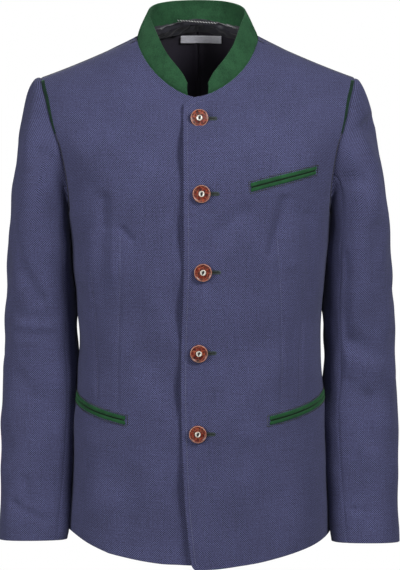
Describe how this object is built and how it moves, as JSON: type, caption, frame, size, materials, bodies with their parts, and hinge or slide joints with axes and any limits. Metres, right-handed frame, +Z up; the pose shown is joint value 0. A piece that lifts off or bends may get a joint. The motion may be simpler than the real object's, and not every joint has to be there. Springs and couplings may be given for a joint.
{
  "type": "folk blazer",
  "caption": "Single-breasted wool folk jacket with a stand collar, horn-look buttons, piped welt pockets and green inlays, hollow as when worn.",
  "frame": {"origin": "midway between the neck ends of the two shoulder seams, where the wearer's shoulders carry the jacket", "axes": "+Z up, -Y the front of the jacket, +X the wearer's left"},
  "size_m": [0.5724, 0.2868, 0.7745],
  "materials": {
    "blue_cloth": "slate blue wool birdseye cloth",
    "green_cloth": "dark green wool felt",
    "dark_lining": "black satin lining",
    "label_cloth": "plain pale grey woven tape, bare",
    "loop_cord": "silvery twisted cord",
    "horn": "mottled red-brown imitation horn"
  },
  "bodies": {
    "root": {"front_left": "blue_cloth", "front_right": "blue_cloth", "back_left": "blue_cloth", "back_right": "blue_cloth", "top_sleeve_left": "blue_cloth", "under_sleeve_left": "blue_cloth", "top_sleeve_right": "blue_cloth", "under_sleeve_right": "blue_cloth", "collar": "green_cloth", "breast_welt_upper": "green_cloth", "breast_welt_lower": "green_cloth", "pocket_left_welt_upper": "green_cloth", "pocket_left_welt_lower": "green_cloth", "pocket_right_welt_upper": "green_cloth", "pocket_right_welt_lower": "green_cloth", "shoulder_inlay_left": "green_cloth", "shoulder_inlay_right": "green_cloth", "button_1": "horn", "button_2": "horn", "button_3": "horn", "button_4": "horn", "button_5": "horn", "back_lining_left": "dark_lining", "back_lining_right": "dark_lining", "neck_band": "dark_lining", "label": "label_cloth", "hanger_loop": "loop_cord"}
  },
  "joints": []
}
